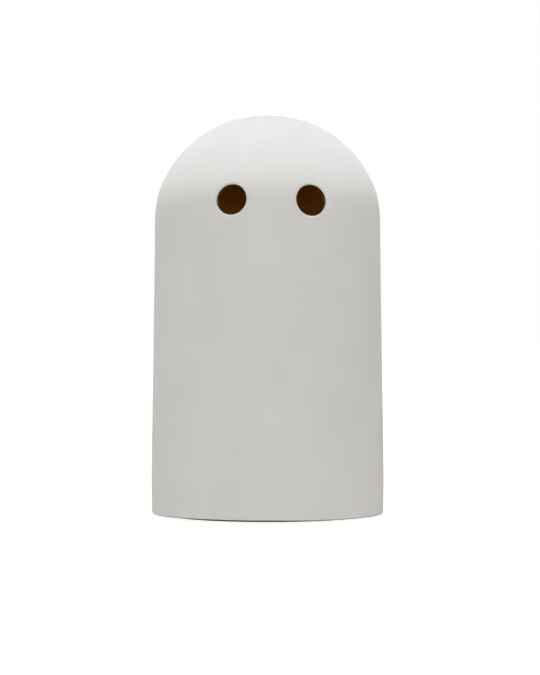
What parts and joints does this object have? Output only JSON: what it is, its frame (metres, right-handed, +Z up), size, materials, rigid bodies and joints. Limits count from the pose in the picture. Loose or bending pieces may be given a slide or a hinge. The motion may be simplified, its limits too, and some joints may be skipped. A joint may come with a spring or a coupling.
{
  "type": "ghost lamp",
  "caption": "Round-topped ceramic ghost with eye holes that lifts off a low wooden base holding cells, a switch and LEDs under an opal dome",
  "frame": {"origin": "bottom centre of the lamp: its axis, on the surface that it stands on", "axes": "+Z up along the lamp's axis, -Y the way the ghost looks, +X to the viewer's right"},
  "size_m": [0.145, 0.145, 0.25],
  "materials": {
    "white_ceramic": "matte white glaze outside, amber-brown glaze inside",
    "zinc_steel": "zinc plated",
    "brown_felt": "pressed brown felt",
    "walnut": "oiled, turned",
    "silicone": "matte silicone",
    "magnet_nickel": "nickel plated",
    "dark_plastic": "fine moulded texture",
    "cell_sleeve": "plain sleeve",
    "contact_metal": "nickel plated spring steel",
    "board_green": "solder mask",
    "board_white": "white solder mask",
    "led_package": "phosphor under clear resin",
    "lead_red": "insulated wire",
    "lead_black": "insulated wire",
    "bronze_plate": "brushed, bronze toned",
    "opal_plastic": "opal, satin",
    "ivory_plastic": "moulded"
  },
  "bodies": {
    "base": {"felt_pad": "brown_felt", "plinth": "walnut", "gasket_ring": "silicone", "magnet_1": "magnet_nickel", "magnet_2": "magnet_nickel", "magnet_3": "magnet_nickel", "module_housing": "dark_plastic", "battery_cell_1": "cell_sleeve", "battery_cell_2": "cell_sleeve", "battery_cell_3": "cell_sleeve", "contact_spring_1": "contact_metal", "contact_spring_2": "contact_metal", "contact_spring_3": "contact_metal", "contact_positive": "contact_metal", "contact_negative": "contact_metal", "contact_bridge_front": "contact_metal", "contact_bridge_back": "contact_metal", "switch_body": "dark_plastic", "control_board": "board_green", "timer_chip": "dark_plastic", "control_board_screw_1": "zinc_steel", "control_board_screw_2": "zinc_steel", "battery_lead_red": "lead_red", "battery_lead_black": "lead_black", "switch_lead": "lead_red", "top_plate": "bronze_plate", "top_plate_screw_1": "zinc_steel", "top_plate_screw_2": "zinc_steel", "top_plate_screw_3": "zinc_steel", "led_board": "board_white", "led_1": "led_package", "led_2": "led_package", "led_3": "led_package", "led_4": "led_package", "led_5": "led_package", "led_6": "led_package", "led_board_screw_1": "zinc_steel", "led_board_screw_2": "zinc_steel", "led_lead_red": "lead_red", "led_lead_black": "lead_black", "diffuser_collar": "bronze_plate", "diffuser_dome": "opal_plastic", "door_hinge_pin": "zinc_steel"},
    "ghost": {"ghost_shell": "white_ceramic", "seat_ring": "zinc_steel"},
    "door": {"battery_door": "dark_plastic"},
    "knob": {"switch_knob": "ivory_plastic"}
  },
  "joints": [
    {"name": "shell_lift", "type": "slide", "parent": "base", "child": "ghost", "axis": [0, 0, 1], "range_m": [0, 0.1]},
    {"name": "battery_door_hinge", "type": "hinge", "parent": "base", "child": "door", "pos_m": [0, 0.0323, 0.0044], "axis": [1, 0, 0], "range_deg": [0, 95]},
    {"name": "switch_slide", "type": "slide", "parent": "base", "child": "knob", "axis": [0, 1, 0], "range_m": [0, 0.005]}
  ]
}
